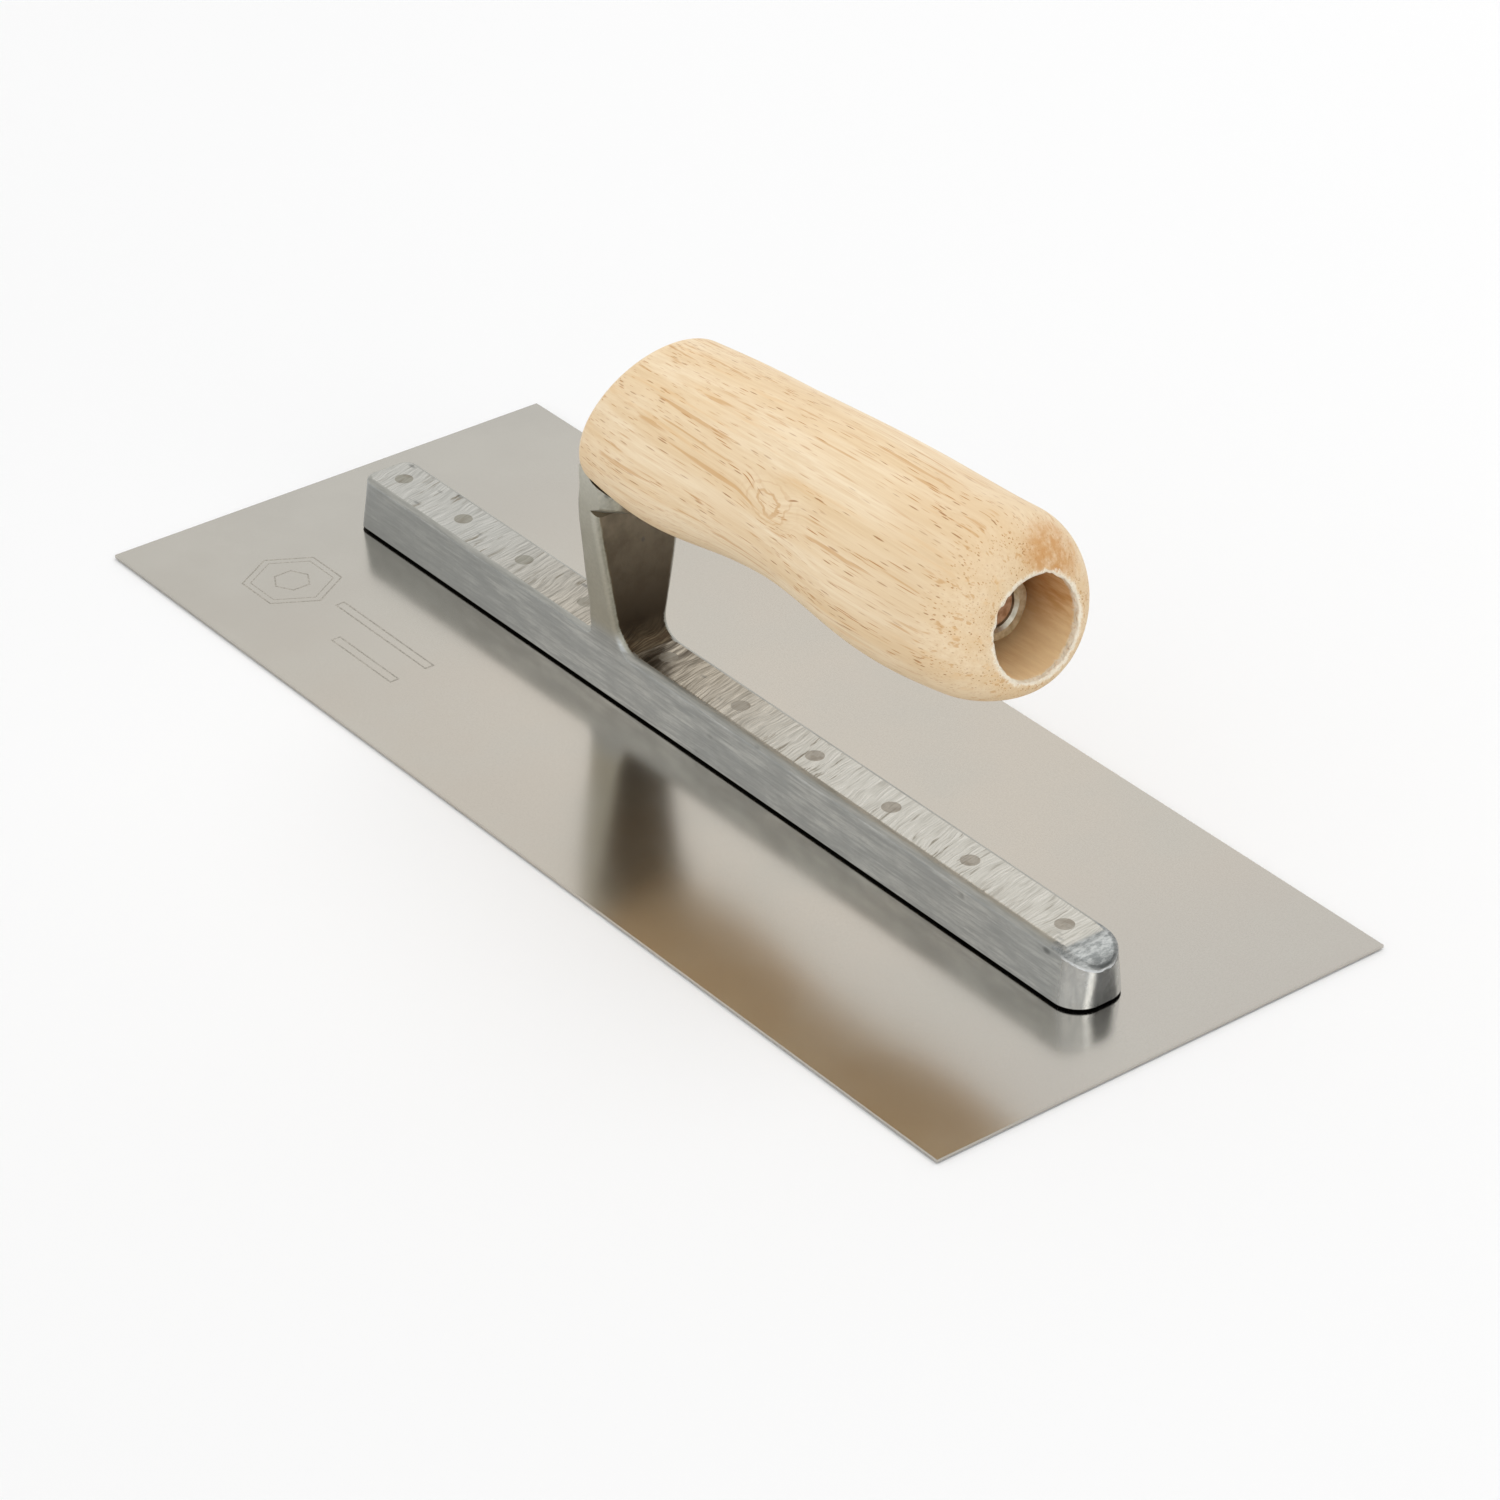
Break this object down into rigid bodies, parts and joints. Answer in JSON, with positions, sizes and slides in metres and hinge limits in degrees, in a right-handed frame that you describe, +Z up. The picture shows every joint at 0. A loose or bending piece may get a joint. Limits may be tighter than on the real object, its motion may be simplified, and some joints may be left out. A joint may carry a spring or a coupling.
{
  "type": "finishing trowel",
  "caption": "Rectangular finishing trowel: thin steel blade, riveted cast mounting bar with a raked neck, and a turned wooden handle held by a rod and nut.",
  "frame": {"origin": "centre of the blade's underside", "axes": "+X along the blade towards the open end of the handle, +Z up from the blade, away from the work; Y = 0 is the plane of symmetry"},
  "size_m": [0.2922, 0.1206, 0.0982],
  "materials": {
    "blade_steel": "satin",
    "cast_metal": "ground and lightly polished casting",
    "rivet_steel": "ground flush, dull",
    "handle_wood": "bare turned hardwood",
    "rod_steel": "lightly rusted cut end",
    "zinc_steel": "zinc plated"
  },
  "bodies": {
    "root": {"blade": "blade_steel", "mounting": "cast_metal", "rivets": "rivet_steel", "handle": "handle_wood", "handle_rod": "rod_steel", "handle_washer": "zinc_steel", "handle_nut": "zinc_steel"}
  },
  "joints": []
}
